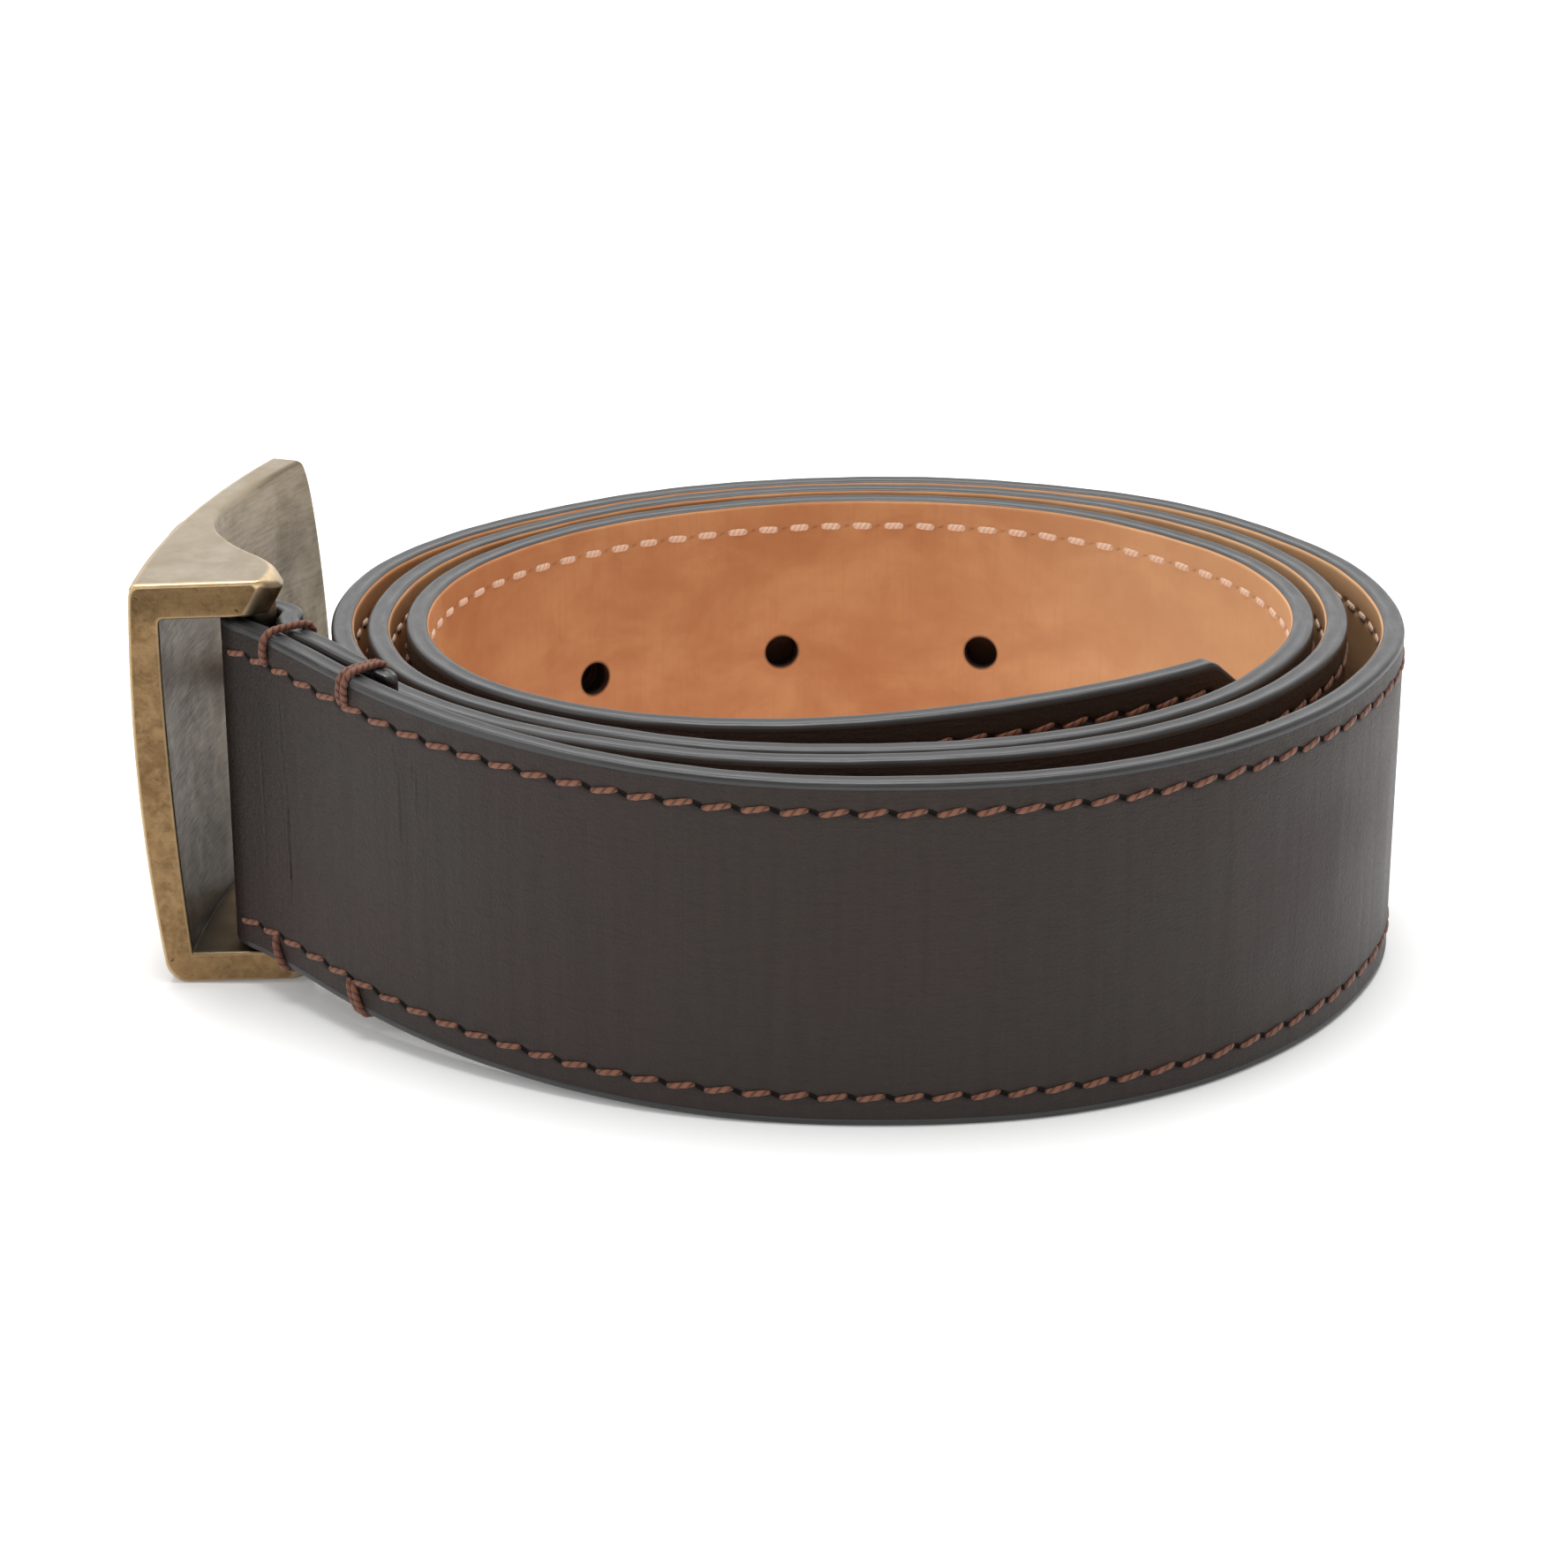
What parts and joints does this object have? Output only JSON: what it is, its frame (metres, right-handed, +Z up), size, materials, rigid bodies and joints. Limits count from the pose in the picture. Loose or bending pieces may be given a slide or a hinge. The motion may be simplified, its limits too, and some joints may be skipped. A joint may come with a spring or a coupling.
{
  "type": "leather dress belt",
  "caption": "Brown dress belt with tan lining and curved brass plate buckle, rolled up and standing on its edge; buckle swings on its bar.",
  "frame": {"origin": "middle of the footprint, at the height of the surface that the rolled belt stands on", "axes": "+X from the buckle across the coil, +Y towards the back of the coil, +Z up along the strap's width"},
  "size_m": [0.1398, 0.102, 0.0471],
  "materials": {
    "outer_leather": "smooth dark brown calf, soft sheen, painted edges",
    "lining_leather": "natural tan vegetable-tanned lining, satin",
    "brown_thread": "waxed rust-brown twisted thread",
    "cream_thread": "waxed pale pinkish-cream thread",
    "aged_brass": "brushed antique brass, satin, rubbed bright at its edges"
  },
  "bodies": {
    "strap": {"strap_outer_leather": "outer_leather", "strap_lining": "lining_leather", "outer_thread_upper": "brown_thread", "outer_thread_lower": "brown_thread", "lining_thread_upper": "cream_thread", "lining_thread_lower": "cream_thread", "bar_tack_near_upper": "brown_thread", "bar_tack_near_lower": "brown_thread", "bar_tack_far_upper": "brown_thread", "bar_tack_far_lower": "brown_thread"},
    "buckle": {"buckle_plate": "aged_brass", "buckle_bar": "aged_brass", "buckle_stud": "aged_brass", "buckle_ornament": "aged_brass"}
  },
  "joints": [
    {"name": "buckle_hinge", "type": "hinge", "parent": "strap", "child": "buckle", "pos_m": [-0.05496, -0.01229, 0.0235], "axis": [0, 0, 1], "range_deg": [-7, 62]}
  ]
}
